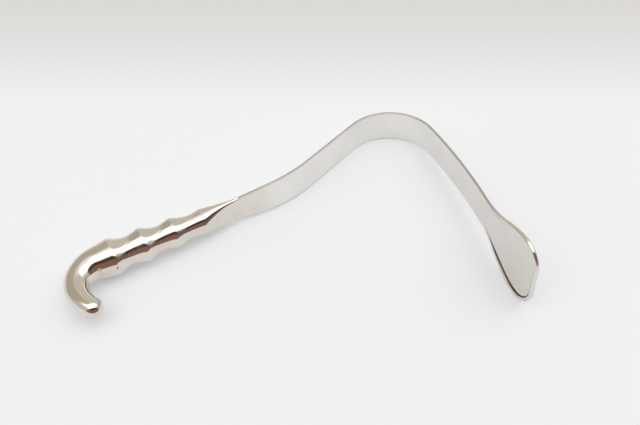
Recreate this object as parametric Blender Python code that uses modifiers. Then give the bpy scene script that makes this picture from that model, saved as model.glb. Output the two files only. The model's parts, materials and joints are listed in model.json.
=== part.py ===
"""Hand-held surgical retractor with a bent strap blade, a heart tip and a hollow finger-grip handle.

The object is modelled flat in its own mid-plane: X runs along the handle towards the blade, Y lies in
the plane in which the strap is bent, and Z is the width of the strap, with ridge 1 of the grip at the
origin. An empty then tips the whole instrument on to its side, on the three points that it rests on,
and puts the middle of its bounding box over the world's origin. All sizes are in metres.
"""

import math

import bmesh
import bpy
import numpy as np
from mathutils import Matrix, Vector

OBJECT_NAME = "surgical_retractor"
CUTTER_NAME = "retractor_cutters"

# Clearances
GAP = 0.0003
OVERLAP = 0.0020

# Strap and its bends, from the handle to the toe
SHANK_WIDTH = 0.0218
SHANK_WIDENING = 0.045
CROWN_WIDTH = 0.0270
BLADE_WIDTH = 0.0270
STRAP_THICKNESS = 0.0020
SHANK_LENGTH = 0.0201
SHANK_BEND_RADIUS = 0.115
SHANK_BEND_DEG = 21.5
RISE_LENGTH = 0.0566
CROWN_RADIUS = 0.0382
CROWN_DEG = 112.7
BLADE_RADIUS = 0.492
BLADE_DEG = 11.6
TOE_RADIUS = 0.381
TOE_DEG = 9.6

# Heart tip, in the flat pattern; lengths run back from the end of the lobes
TIP_WIDTH = 0.0594
FLARE_LENGTH = 0.0740
LOBE_LENGTH = 0.0183
LOBE_SPACING = 0.0218
NOTCH_DEPTH = 0.0004

# Rim: rounded along the strap, growing into a bead that stands proud of the inner face round the tip
EDGE_RADIUS = 0.0005
BEAD_RADIUS = 0.0017
BEAD_FADE = 0.035
RIM_WIDTH = 0.0042
START_BEVEL = 0.2

# Tang, the thin tongue of the strap inside the handle
TANG_LENGTH = 0.026
TANG_WIDTH = 0.015
TANG_THICKNESS = 0.0010

# Finger grip: half thickness and half height of each ridge, and the scallops between them, from ridge 1
RIDGE_PITCH = 0.0236
RIDGE_HALF_THICKNESS = (0.0145, 0.0134, 0.0119, 0.0092)
RIDGE_HALF_HEIGHT = (0.0145, 0.0134, 0.0120, 0.0104)
SCALLOP_DEPTHS = (0.0031, 0.0030, 0.0022)
SCALLOP_POWER = 1.35
NECK_LENGTH = 0.0242
NECK_POWER = 1.6
GRIP_OFFSET = 0.0007

# Hook at the end of the handle
HOOK_RUN = 0.0113
HOOK_BACK_RADIUS = 0.020
HOOK_BACK_DEG = 91.0
HOOK_END_RADIUS = 0.0323
HOOK_END_DEG = 46.95
HOOK_END_HALF_THICKNESS = 0.0072
HOOK_TAPER_POWER = 1.75

# Sheet metal and welds
SHEET = 0.0011
SEAM_WELD_WIDTH = 0.0008
MOUTH_WELD_LENGTH = 0.0048
WELD_CROWN = 0.00015

# Vent plug, beside the seam on ridge 1
VENT_RADIUS = 0.0007
VENT_HEIGHT = 0.0024

# Mesh fineness
ROWS_PER_LEG = (3, 6, 2, 16, 6)
TIP_ROWS = 22
HALF_COLUMNS = 4
FLAT_RINGS = 2
ARC_STEPS = 3
BEAD_STEPS = 3
BEAD_TURN_DEG = 78
SECTION_POINTS = 24
STEPS_PER_SCALLOP = 6
NECK_STEPS = 5
HOOK_STEPS = 15
NOSE_STEPS = 4
CONTOUR_POINTS = 60
REST_PASSES = 6

# Derived places along the handle axis
RIDGE_COUNT = len(RIDGE_HALF_THICKNESS)
LAST_RIDGE_X = RIDGE_PITCH * (RIDGE_COUNT - 1)
MOUTH_X = LAST_RIDGE_X + NECK_LENGTH
SHOULDER_X = MOUTH_X + MOUTH_WELD_LENGTH + 2 * GAP
MOUTH_HALF_THICKNESS = TANG_THICKNESS / 2 + GAP + SHEET

# Finishes: colour, roughness
POLISHED_STEEL = ((0.78, 0.76, 0.73), 0.16)
WELD_STEEL = ((0.66, 0.64, 0.61), 0.28)
PLUG_STEEL = ((0.35, 0.33, 0.31), 0.40)


class Path:
    """Straight runs and arcs laid end to end in the mid-plane."""

    def __init__(self, x, y, heading, runs):
        self.legs = []
        for length, turn in runs:
            self.legs.append((length, turn, x, y, heading))
            x, y, heading = self.advance(x, y, heading, turn / length, length)
        self.length = sum(length for length, _ in runs)

    @staticmethod
    def advance(x, y, heading, curvature, distance):
        if abs(curvature) < 1e-9:
            return x + distance * math.cos(heading), y + distance * math.sin(heading), heading
        turned = heading + curvature * distance
        new_x = x + (math.sin(turned) - math.sin(heading)) / curvature
        new_y = y - (math.cos(turned) - math.cos(heading)) / curvature
        return new_x, new_y, turned

    def at(self, distance):
        """Centre and left-hand normal at a distance along the path."""
        for length, turn, x, y, heading in self.legs:
            if distance <= length:
                break
            distance -= length
        else:
            distance += length
        x, y, heading = self.advance(x, y, heading, turn / length, distance)
        return Vector((x, y, 0.0)), Vector((-math.sin(heading), math.cos(heading), 0.0))


def arc(radius, degrees):
    """A run of a path that turns left by so many degrees, or right if they are negative."""
    turn = math.radians(degrees)
    return radius * abs(turn), turn


def smoothstep(t):
    t = min(max(t, 0.0), 1.0)
    return t * t * (3.0 - 2.0 * t)


def mix(a, b, t):
    return a + (b - a) * t


def strap_path():
    """Middle of the strap's thickness, from the shoulder at the handle to the end of the toe."""
    runs = (
        (SHANK_LENGTH, 0.0),
        arc(SHANK_BEND_RADIUS, SHANK_BEND_DEG),
        (RISE_LENGTH, 0.0),
        arc(CROWN_RADIUS, -CROWN_DEG),
        arc(BLADE_RADIUS, -BLADE_DEG),
        arc(TOE_RADIUS, TOE_DEG),
    )
    return Path(SHOULDER_X, -GRIP_OFFSET, 0.0, runs)


def strap_half_width(path, distance):
    """Half width of the strap: narrow at the handle, widest up to the crown, then easing to the flare."""
    if distance < SHANK_WIDENING:
        return mix(CROWN_WIDTH / 2, SHANK_WIDTH / 2, (1 - distance / SHANK_WIDENING) ** 2)
    crown = sum(leg[0] for leg in path.legs[:3]) + path.legs[3][0] / 2
    places = (crown, path.length - FLARE_LENGTH)
    return np.interp(distance, places, (CROWN_WIDTH / 2, BLADE_WIDTH / 2))


def handle_path():
    """Centre of the handle, from its mouth on the strap to the end of the hook."""
    runs = (
        (MOUTH_X + HOOK_RUN, 0.0),
        arc(HOOK_BACK_RADIUS, HOOK_BACK_DEG),
        arc(HOOK_END_RADIUS, HOOK_END_DEG),
    )
    return Path(MOUTH_X, 0.0, math.pi, runs)


# ---------------------------------------------------------------- blade

def flare_half_width(back):
    """Half width of the blade at a distance back from the end, outside the rounded lobes."""
    t = (FLARE_LENGTH - back) / (FLARE_LENGTH - LOBE_LENGTH)
    return mix(BLADE_WIDTH / 2, TIP_WIDTH / 2, smoothstep(t))


def lobe_point(angle):
    """Point of a lobe's quarter ellipse: its end at angle 0, its widest place at a right angle."""
    reach = TIP_WIDTH / 2 - LOBE_SPACING / 2
    return LOBE_LENGTH * (1 - math.cos(angle)), LOBE_SPACING / 2 + reach * math.sin(angle)


def notch_point(across):
    """Point of the shallow notch between the lobes."""
    return NOTCH_DEPTH * (1 + math.cos(math.pi * across / (LOBE_SPACING / 2))) / 2, across


def resample(line, count):
    """Points at even distances along a polyline."""
    travelled = np.concatenate(([0.0], np.cumsum(np.hypot(*np.diff(line, axis=0).T))))
    places = np.linspace(0.0, travelled[-1], count)
    return np.stack([np.interp(places, travelled, line[:, axis]) for axis in (0, 1)], axis=1)


def tip_outline():
    """The half outline as two runs of points that meet on the lobe: the long side, and the end."""
    corner = math.pi / 4
    side = [(back, flare_half_width(back))
            for back in np.linspace(FLARE_LENGTH, LOBE_LENGTH, CONTOUR_POINTS)]
    side += [lobe_point(angle) for angle in np.linspace(math.pi / 2, corner, CONTOUR_POINTS)[1:]]
    end = [notch_point(across) for across in np.linspace(0.0, LOBE_SPACING / 2, CONTOUR_POINTS)]
    end += [lobe_point(angle) for angle in np.linspace(0.0, corner, CONTOUR_POINTS)[1:]]
    return resample(np.array(side), TIP_ROWS + 1), resample(np.array(end), HALF_COLUMNS + 1)


def strap_rows(path):
    """Distances along the strap of its rows of vertices, up to where the tip begins."""
    flare_start = path.length - FLARE_LENGTH
    rows = []
    start = 0.0
    for (length, *_), count in zip(path.legs, ROWS_PER_LEG):
        rows += list(np.linspace(start, min(start + length, flare_start), count, endpoint=False))
        start += length
    return rows


def flat_rim(path, rows):
    """Closed outline of the flat pattern, distance and across, and its outward direction at each point."""
    side, end = tip_outline()
    half = [(distance, strap_half_width(path, distance)) for distance in rows]
    half += [(path.length - back, across) for back, across in side]
    half += [(path.length - back, across) for back, across in end[-2::-1]]
    half = np.array(half)
    line = np.concatenate((half, half[-2::-1] * (1.0, -1.0)))
    ahead = np.gradient(line, axis=0)
    ahead /= np.hypot(*ahead.T)[:, None]
    out = np.stack((-ahead[:, 1], ahead[:, 0]), axis=1)
    bevel = np.array((-START_BEVEL, 0.0))
    out[[0, -1]] += bevel
    count = 2 * HALF_COLUMNS
    start = mix(line[-1], line[0], np.arange(1, count)[:, None] / count)
    return np.concatenate((line, start)), np.concatenate((out, np.tile(bevel, (count - 1, 1))))


def rim_rings():
    """Depth and height of each ring round the rim, for the plain strap and for the bead."""
    half = STRAP_THICKNESS / 2
    edge, bead = EDGE_RADIUS, BEAD_RADIUS

    def on_bead(degrees):
        turn = math.radians(degrees)
        return bead - bead * math.cos(turn), half - bead + bead * math.sin(turn)

    rings = []
    for t in np.linspace(0.0, 1.0, FLAT_RINGS + 1)[1:]:
        rings.append(((mix(RIM_WIDTH, edge, t), half), (mix(RIM_WIDTH, bead, t), half)))
    for t in np.linspace(0.0, 1.0, ARC_STEPS + 1)[1:]:
        turn = math.pi / 2 * (1 - t)
        plain = (edge - edge * math.cos(turn), half - edge + edge * math.sin(turn))
        rings.append((plain, on_bead(90 * (1 - t))))
    for step in range(1, ARC_STEPS + 1):
        turn = math.pi / 2 * (step - 1) / (ARC_STEPS - 1)
        plain = (edge - edge * math.cos(turn), edge - half - edge * math.sin(turn))
        rings.append((plain, on_bead(-90 * step / ARC_STEPS)))
    for t in np.linspace(0.0, 1.0, BEAD_STEPS + 1)[1:]:
        plain = (mix(edge, RIM_WIDTH, t * BEAD_STEPS / (BEAD_STEPS + 2)), -half)
        rings.append((plain, on_bead(-90 - BEAD_TURN_DEG * t)))
    plain = (mix(edge, RIM_WIDTH, (BEAD_STEPS + 1) / (BEAD_STEPS + 2)), -half)
    rings.append((plain, (2 * bead + GAP / 2, -half)))
    return rings


def face_grid(inner, straight, row_count):
    """Grid of the face inside the rim: straight across the strap, blended between the tip's borders."""
    columns = 2 * HALF_COLUMNS
    near = inner[:row_count]
    far = near * (1.0, -1.0)
    end = inner[row_count - 1:row_count + columns]
    first = mix(near[straight], far[straight], np.arange(columns + 1)[:, None] / columns)
    grid = np.zeros((row_count, columns + 1, 2))
    for row in range(row_count):
        u = max(row - straight, 0) / (row_count - 1 - straight)
        for column in range(columns + 1):
            v = column / columns
            grid[row, column] = mix(near[row], far[row], v)
            if u > 0:
                corners = mix(mix(first[0], first[-1], v), mix(end[0], end[-1], v), u)
                grid[row, column] += mix(first[column], end[column], u) - corners
    return grid


def blade_solid():
    """The strap and its heart tip as one closed mesh, laid on the bent path."""
    path = strap_path()
    rows = strap_rows(path)
    rim, out = flat_rim(path, rows)
    row_count = len(rows) + TIP_ROWS + 1
    columns = 2 * HALF_COLUMNS
    width = columns + 1
    grid = face_grid(rim - out * RIM_WIDTH, len(rows), row_count)
    mesh = bmesh.new()

    def place(flat, rise):
        centre, normal = path.at(flat[0])
        return mesh.verts.new(centre + normal * rise + Vector((0.0, 0.0, flat[1])))

    def border(face):
        line = [face[row * width] for row in range(row_count)]
        line += face[(row_count - 1) * width + 1:]
        line += [face[row * width + columns] for row in range(row_count - 2, -1, -1)]
        return line + face[columns - 1:0:-1]

    faces = []
    for rise in (STRAP_THICKNESS / 2, -STRAP_THICKNESS / 2):
        face = [place(flat, rise) for flat in grid.reshape(-1, 2)]
        faces.append(face)
        for row in range(row_count - 1):
            for column in range(columns):
                a = row * width + column
                mesh.faces.new((face[a], face[a + 1], face[a + width + 1], face[a + width]))
    backs = path.length - rim[:, 0]
    shares = [smoothstep((FLARE_LENGTH - back) / BEAD_FADE) for back in backs]
    rings = [border(faces[0])]
    for plain, bead in rim_rings():
        ring = []
        for flat, way, share in zip(rim, out, shares):
            depth, rise = mix(np.array(plain), np.array(bead), share)
            ring.append(place(flat - way * depth, rise))
        rings.append(ring)
    bridge(mesh, [*rings, border(faces[1])])
    bmesh.ops.recalc_face_normals(mesh, faces=mesh.faces)
    if mesh.calc_volume(signed=True) < 0:
        bmesh.ops.reverse_faces(mesh, faces=mesh.faces)
    return mesh


def build_blade(cutters):
    """Strap and tip, joined to the thin tang inside the handle."""
    blade = add_object("blade", blade_solid(), POLISHED_STEEL)
    tang_end = SHOULDER_X + OVERLAP
    tang = add_box(
        "tang_blank",
        (tang_end - TANG_LENGTH, -GRIP_OFFSET - TANG_THICKNESS / 2, -TANG_WIDTH / 2),
        (tang_end, -GRIP_OFFSET + TANG_THICKNESS / 2, TANG_WIDTH / 2),
        cutters,
    )
    add_boolean(blade, tang, "UNION")
    return blade


# ---------------------------------------------------------------- handle

def grip_section(x):
    """Half thickness and half height of the handle at a distance x from ridge 1 along its centre."""
    if x >= LAST_RIDGE_X:
        t = min((x - LAST_RIDGE_X) / NECK_LENGTH, 1.0)
        thickness = mix(MOUTH_HALF_THICKNESS, RIDGE_HALF_THICKNESS[-1], (1 - t) ** NECK_POWER)
        return thickness, mix(RIDGE_HALF_HEIGHT[-1], SHANK_WIDTH / 2, smoothstep(t))
    if x > 0:
        ridge = min(int(x / RIDGE_PITCH), RIDGE_COUNT - 2)
        t = x / RIDGE_PITCH - ridge
        scallop = SCALLOP_DEPTHS[ridge] * abs(math.sin(math.pi * t)) ** SCALLOP_POWER
        thickness = mix(RIDGE_HALF_THICKNESS[ridge], RIDGE_HALF_THICKNESS[ridge + 1], t)
        height = mix(RIDGE_HALF_HEIGHT[ridge], RIDGE_HALF_HEIGHT[ridge + 1], t)
        return thickness - scallop, height - scallop
    fade = max(1 + x / (handle_path().length - MOUTH_X), 0.0) ** HOOK_TAPER_POWER
    thickness = mix(HOOK_END_HALF_THICKNESS, RIDGE_HALF_THICKNESS[0], fade)
    height = mix(HOOK_END_HALF_THICKNESS, RIDGE_HALF_HEIGHT[0], fade)
    return thickness, height


def stadium(half_thickness, half_height):
    """Section of the handle: two half rounds joined by flats, a circle where both sizes are equal."""
    straight = max(half_height - half_thickness, 0.0)
    points = []
    for index in range(SECTION_POINTS):
        angle = 2 * math.pi * index / SECTION_POINTS
        side = 0 if index % (SECTION_POINTS // 2) == 0 else math.copysign(1, math.sin(angle))
        across = half_thickness * math.cos(angle)
        points.append((across, half_thickness * math.sin(angle) + side * straight))
    return points


def handle_stations(path):
    """Distances from the mouth, and the shrink of the section that rounds off the hook's end."""
    neck = np.linspace(0.0, NECK_LENGTH, NECK_STEPS, endpoint=False)
    grip = np.linspace(NECK_LENGTH, MOUTH_X, STEPS_PER_SCALLOP * (RIDGE_COUNT - 1), endpoint=False)
    nose_start = path.length - HOOK_END_HALF_THICKNESS
    hook = np.linspace(MOUTH_X, nose_start, HOOK_STEPS, endpoint=False)
    stations = [(distance, 1.0) for distance in (*neck, *grip, *hook)]
    for angle in np.linspace(0.0, math.pi / 2, NOSE_STEPS, endpoint=False):
        stations.append((nose_start + HOOK_END_HALF_THICKNESS * math.sin(angle), math.cos(angle)))
    return stations


def ring_points(path, distance, shrink):
    centre, normal = path.at(distance)
    half_thickness, half_height = grip_section(MOUTH_X - distance)
    centre.y -= GRIP_OFFSET * smoothstep(1 - distance / NECK_LENGTH)
    return [centre + normal * across + Vector((0.0, 0.0, up))
            for across, up in stadium(half_thickness * shrink, half_height * shrink)]


def handle_skin():
    """Outer surface of the whole handle, open at the mouth and closed at the hook's end."""
    path = handle_path()
    mesh = bmesh.new()
    rings = [[mesh.verts.new(point) for point in ring_points(path, distance, shrink)]
             for distance, shrink in handle_stations(path)]
    bridge(mesh, rings)
    end, _ = path.at(path.length)
    close_to_point(mesh, rings[-1], mesh.verts.new(end))
    bmesh.ops.recalc_face_normals(mesh, faces=mesh.faces)
    if mesh.calc_volume(signed=True) < 0:
        bmesh.ops.reverse_faces(mesh, faces=mesh.faces)
    return mesh


def skin_between(low, high):
    """The part of the handle's outer surface between two heights."""
    mesh = handle_skin()
    for height, below in ((low, True), (high, False)):
        bmesh.ops.bisect_plane(
            mesh,
            geom=[*mesh.verts, *mesh.edges, *mesh.faces],
            plane_co=(0.0, 0.0, height),
            plane_no=(0.0, 0.0, 1.0),
            clear_inner=below,
            clear_outer=not below,
        )
    return mesh


def build_sheet(name, low, high, finish):
    """A piece of the handle's wall between two heights, one sheet thick."""
    piece = add_object(name, skin_between(low, high), finish)
    solid = piece.modifiers.new("Sheet", "SOLIDIFY")
    solid.thickness = SHEET
    solid.offset = -1.0
    solid.use_even_offset = True
    return piece


def build_handle(cutters):
    """Both pressed shells, the weld along their seam and the plug in the vent."""
    seam = SEAM_WELD_WIDTH / 2
    beyond = 2 * max(RIDGE_HALF_HEIGHT)
    upper = build_sheet("upper_handle_shell", seam + GAP, beyond, POLISHED_STEEL)
    lower = build_sheet("lower_handle_shell", -beyond, -seam - GAP, POLISHED_STEEL)
    weld = build_sheet("seam_weld", -seam, seam, WELD_STEEL)
    hole = add_rod("vent_cutter", VENT_RADIUS + GAP, 3 * SHEET, 2 * SHEET, cutters)
    add_boolean(upper, hole, "DIFFERENCE")
    plug = add_rod("vent_plug", VENT_RADIUS, SHEET, SHEET, None)
    plug.data.materials.append(steel("vent_plug", PLUG_STEEL))
    return [upper, lower, weld, plug]


def build_mouth_weld(cutters):
    """Ring of weld that runs the handle's mouth out on to the strap, with the tang through it."""
    back = MOUTH_X + GAP
    front = SHOULDER_X - GAP
    mesh = bmesh.new()
    rings = []
    for x, half_thickness in ((back, MOUTH_HALF_THICKNESS), (front, STRAP_THICKNESS / 2 + WELD_CROWN)):
        section = stadium(half_thickness, SHANK_WIDTH / 2)
        rings.append([mesh.verts.new((x, across - GRIP_OFFSET, up)) for across, up in section])
    bridge(mesh, rings)
    for ring in rings:
        mesh.faces.new(ring)
    bmesh.ops.recalc_face_normals(mesh, faces=mesh.faces)
    weld = add_object("mouth_weld", mesh, WELD_STEEL)
    slot = add_box(
        "tang_slot",
        (back - OVERLAP, -GRIP_OFFSET - TANG_THICKNESS / 2 - GAP, -TANG_WIDTH / 2 - GAP),
        (front + OVERLAP, -GRIP_OFFSET + TANG_THICKNESS / 2 + GAP, TANG_WIDTH / 2 + GAP),
        cutters,
    )
    add_boolean(weld, slot, "DIFFERENCE")
    return weld


# ---------------------------------------------------------------- helpers

def bridge(mesh, rings):
    """Quads between each ring of vertices and the next."""
    for ring, following in zip(rings, rings[1:]):
        for index in range(len(ring)):
            after = (index + 1) % len(ring)
            mesh.faces.new((ring[index], ring[after], following[after], following[index]))


def close_to_point(mesh, ring, point):
    """Triangles from a ring of vertices to one point."""
    for index in range(len(ring)):
        mesh.faces.new((ring[index], ring[(index + 1) % len(ring)], point))


def steel(name, finish):
    colour, roughness = finish
    material = bpy.data.materials.new(name)
    material.use_nodes = True
    shader = material.node_tree.nodes["Principled BSDF"]
    shader.inputs["Base Color"].default_value = (*colour, 1.0)
    shader.inputs["Roughness"].default_value = roughness
    shader.inputs["Metallic"].default_value = 1.0
    return material


def add_object(name, mesh, finish):
    """An object from a bmesh, with its own steel, shaded smooth between its sharp edges."""
    data = bpy.data.meshes.new(name)
    mesh.to_mesh(data)
    mesh.free()
    data.shade_smooth()
    data.set_sharp_from_angle(angle=math.radians(40))
    data.materials.append(steel(name, finish))
    piece = bpy.data.objects.new(name, data)
    bpy.data.collections[OBJECT_NAME].objects.link(piece)
    return piece


def hide_cutter(piece, cutters):
    piece.hide_render = True
    piece.display_type = "WIRE"
    cutters.objects.link(piece)


def add_box(name, low, high, cutters):
    """A cutter or blank with these two corners."""
    low = Vector(low)
    high = Vector(high)
    mesh = bmesh.new()
    bmesh.ops.create_cube(mesh, size=1.0)
    bmesh.ops.scale(mesh, verts=mesh.verts, vec=high - low)
    bmesh.ops.translate(mesh, verts=mesh.verts, vec=(low + high) / 2)
    data = bpy.data.meshes.new(name)
    mesh.to_mesh(data)
    mesh.free()
    box = bpy.data.objects.new(name, data)
    hide_cutter(box, cutters)
    return box


def add_rod(name, radius, length, reach, cutters):
    """A rod square to ridge 1 beside the seam, from so far inside the crest outwards."""
    crest = RIDGE_HALF_THICKNESS[0]
    tilt = math.asin(VENT_HEIGHT / crest)
    outward = Vector((0.0, -math.cos(tilt), math.sin(tilt)))
    turn = outward.to_track_quat("Z", "X").to_matrix().to_4x4()
    place = Matrix.Translation(outward * (crest - reach + length / 2)) @ turn
    mesh = bmesh.new()
    bmesh.ops.create_cone(
        mesh, cap_ends=True, segments=16, radius1=radius, radius2=radius, depth=length, matrix=place)
    data = bpy.data.meshes.new(name)
    mesh.to_mesh(data)
    mesh.free()
    rod = bpy.data.objects.new(name, data)
    if cutters is None:
        bpy.data.collections[OBJECT_NAME].objects.link(rod)
    else:
        hide_cutter(rod, cutters)
    return rod


def add_boolean(piece, tool, operation):
    modifier = piece.modifiers.new(tool.name, "BOOLEAN")
    modifier.operation = operation
    modifier.solver = "EXACT"
    modifier.object = tool


def solid_points(piece):
    """Vertices of a piece with its modifiers, before the instrument is laid down."""
    evaluated = piece.evaluated_get(bpy.context.evaluated_depsgraph_get())
    return np.array([vert.co[:] for vert in evaluated.data.vertices])


def rest_normal(zones):
    """Upward normal of the table, from the lowest point of each of the three resting zones."""
    normal = np.array((0.0, 0.0, 1.0))
    for _ in range(REST_PASSES):
        first, second, third = (zone[np.argmin(zone @ normal)] for zone in zones)
        normal = np.cross(second - first, third - first)
        normal *= math.copysign(1.0, normal[2]) / np.linalg.norm(normal)
    return normal


def lay_down(pieces):
    """Tip the instrument on to ridge 1, the crown of its bend and a lobe of its tip."""
    points = {piece.name: solid_points(piece) for piece in pieces}
    shell = points["lower_handle_shell"]
    blade = points["blade"]
    grip = shell[np.abs(shell[:, 0]) < RIDGE_PITCH / 2]
    crown = blade[blade[:, 1] > blade[:, 1].max() / 2]
    tip = blade[blade[:, 1] < blade[:, 1].min() + FLARE_LENGTH]
    up = Vector(rest_normal((grip, crown, tip)))
    ahead = (Vector((1.0, 0.0, 0.0)) - up * up.x).normalized()
    turn = Matrix((ahead, up.cross(ahead), up))
    laid = np.concatenate(list(points.values())) @ np.array(turn).T
    low = laid.min(axis=0)
    high = laid.max(axis=0)
    centre = Vector(((low[0] + high[0]) / 2, (low[1] + high[1]) / 2, low[2]))
    frame = bpy.data.objects.new("rest_frame", None)
    bpy.data.collections[OBJECT_NAME].objects.link(frame)
    frame.matrix_world = Matrix.Translation(-centre) @ turn.to_4x4()
    for piece in pieces:
        piece.parent = frame


def main():
    for piece in list(bpy.data.objects):
        bpy.data.objects.remove(piece, do_unlink=True)
    scene = bpy.context.scene.collection
    for name in (OBJECT_NAME, CUTTER_NAME):
        scene.children.link(bpy.data.collections.new(name))
    cutters = bpy.data.collections[CUTTER_NAME]
    pieces = [build_blade(cutters), *build_handle(cutters), build_mouth_weld(cutters)]
    bpy.context.view_layer.update()
    lay_down(pieces)
    for cutter in cutters.objects:
        cutter.parent = bpy.data.objects["rest_frame"]


main()
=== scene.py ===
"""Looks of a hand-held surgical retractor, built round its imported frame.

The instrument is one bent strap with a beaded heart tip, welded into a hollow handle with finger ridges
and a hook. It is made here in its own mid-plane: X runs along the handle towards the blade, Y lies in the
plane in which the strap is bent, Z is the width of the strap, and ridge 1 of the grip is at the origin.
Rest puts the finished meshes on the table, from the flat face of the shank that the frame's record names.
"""

import json
import logging
import math
from dataclasses import dataclass
from enum import Enum
from typing import Any

import bmesh
import bpy
import numpy as np
from bpy.types import ID, Material, Mesh, Node, NodeSocket, NodeTree, Object
from mathutils import Matrix, Vector


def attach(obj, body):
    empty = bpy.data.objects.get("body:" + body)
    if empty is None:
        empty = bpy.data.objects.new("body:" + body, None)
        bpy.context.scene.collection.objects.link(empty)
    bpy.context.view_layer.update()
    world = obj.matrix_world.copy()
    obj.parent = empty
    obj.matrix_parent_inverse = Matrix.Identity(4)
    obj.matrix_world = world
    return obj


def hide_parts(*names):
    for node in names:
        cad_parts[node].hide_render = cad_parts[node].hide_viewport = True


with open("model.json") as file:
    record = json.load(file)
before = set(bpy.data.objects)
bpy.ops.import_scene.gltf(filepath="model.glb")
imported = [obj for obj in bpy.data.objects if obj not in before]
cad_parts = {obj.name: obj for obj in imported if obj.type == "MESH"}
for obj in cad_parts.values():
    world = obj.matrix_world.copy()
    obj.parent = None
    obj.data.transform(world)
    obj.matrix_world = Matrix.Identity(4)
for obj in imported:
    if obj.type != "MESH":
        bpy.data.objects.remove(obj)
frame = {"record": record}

LOG = logging.getLogger("retractor")
BODY = "root"
UV_NAME = "UVMap"
SHADE_MASK_NAME = "groove"
# painted shade: colour laid in the groove beside the bead and along the plain strap's rounded edges
PAINTED_SHADE_COLOUR = (0.045, 0.030, 0.022, 1.0)
CLOUD_SCALE = 55.0
CLOUD_STOPS = (0.35, 0.65)
# painted shade: where along the length the colour darkens towards the start and towards the end
LENGTH_SHADE_STOPS = (0.04, 0.08, 0.45, 0.95)
# noise that breaks up the painted shade
SHADE_MOTTLE_SCALE = 900.0
SHADE_MOTTLE_SPREAD = 1.1
SHADE_MOTTLE_FLOOR = 0.75
OUTLINE_POINTS = 80
STRAIGHT = 1e-9  # a run with less curvature is laid as a straight
NOSE_END = 1e-7  # share of the section that is left at the very end of a nose
MERGE_DISTANCE = 2e-6
SLIVER = 6e-5  # step that keeps a surface just off the one that it runs out on


# ---------------------------------------------------------------- small tools

class Sheet:
    """Short hand for filling one node tree."""

    def __init__(self, tree: NodeTree) -> None:
        """Keep the tree that is filled."""
        self.tree = tree

    def add(self, kind: str, inputs: dict[Any, Any] | None = None, **settings: Any) -> Node:
        """Add a node.

        Args:
            kind: The node's type name.
            inputs: Sockets to link, or values to set, by the socket's name or number.
            settings: The node's own properties.

        Returns:
            The new node.
        """
        node = self.tree.nodes.new(kind)
        for key, value in settings.items():
            setattr(node, key, value)
        for key, value in (inputs or {}).items():
            if isinstance(value, NodeSocket):
                self.tree.links.new(value, node.inputs[key])
            else:
                node.inputs[key].default_value = value
        return node

    def math(self, operation: str, *values: Any) -> NodeSocket:
        """Result of one arithmetic step on one to three values."""
        node = self.add("ShaderNodeMath", dict(enumerate(values)), operation=operation)
        return node.outputs[0]

    def vector(self, operation: str, *values: Any) -> NodeSocket:
        """Result of one vector step."""
        node = self.add("ShaderNodeVectorMath", dict(enumerate(values)), operation=operation)
        return node.outputs[0]

    def stretch(self, direction: NodeSocket, factor: Any) -> NodeSocket:
        """A vector times a number."""
        node = self.add("ShaderNodeVectorMath", {0: direction, "Scale": factor}, operation="SCALE")
        return node.outputs[0]

    def dot(self, a: Any, b: Any) -> NodeSocket:
        """Dot product of two vectors."""
        return self.add("ShaderNodeVectorMath", {0: a, 1: b}, operation="DOT_PRODUCT").outputs["Value"]

    def split(self, vector: NodeSocket) -> Any:
        """The X, Y and Z outputs of a vector."""
        return self.add("ShaderNodeSeparateXYZ", {0: vector}).outputs

    def noise(self, place: NodeSocket, scale: float, detail: float) -> NodeSocket:
        """Noise from 0 to 1."""
        return self.add("ShaderNodeTexNoise", {"Vector": place, "Scale": scale, "Detail": detail}).outputs[0]

    def blend(self, share: Any, under: Any, over: Any) -> NodeSocket:
        """Colour between two colours."""
        return self.add("ShaderNodeMix", {"Factor": share, 6: under, 7: over}, data_type="RGBA").outputs[2]

    def ramp(self, factor: Any, stops: tuple[tuple[float, Any], ...], smooth: bool = True) -> Any:
        """Colour socket of a ramp.

        Args:
            factor: What the ramp is read at.
            stops: Place and grey level or colour of each stop.
            smooth: Ease between the stops.

        Returns:
            The ramp's colour output.
        """
        node = self.add("ShaderNodeValToRGB", {"Fac": factor})
        node.color_ramp.interpolation = "EASE" if smooth else "LINEAR"
        elements = node.color_ramp.elements
        while len(elements) < len(stops):
            elements.new(1.0)
        for element, (place, tone) in zip(elements, stops):
            element.position = place
            colour = (tone, tone, tone) if isinstance(tone, float) else tone
            element.color = (*colour, 1.0)
        return node.outputs["Color"]


def smoothstep(t: float) -> float:
    """Ease from 0 to 1 with flat ends."""
    t = min(max(t, 0.0), 1.0)
    return t * t * (3.0 - 2.0 * t)


def mix(a: Any, b: Any, t: Any) -> Any:
    """Value between a and b."""
    return a + (b - a) * t


def arc(radius: float, degrees: float) -> tuple[float, float]:
    """A run of a path that turns left by so many degrees, or right if they are negative."""
    turn = math.radians(degrees)
    return radius * abs(turn), turn


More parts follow.
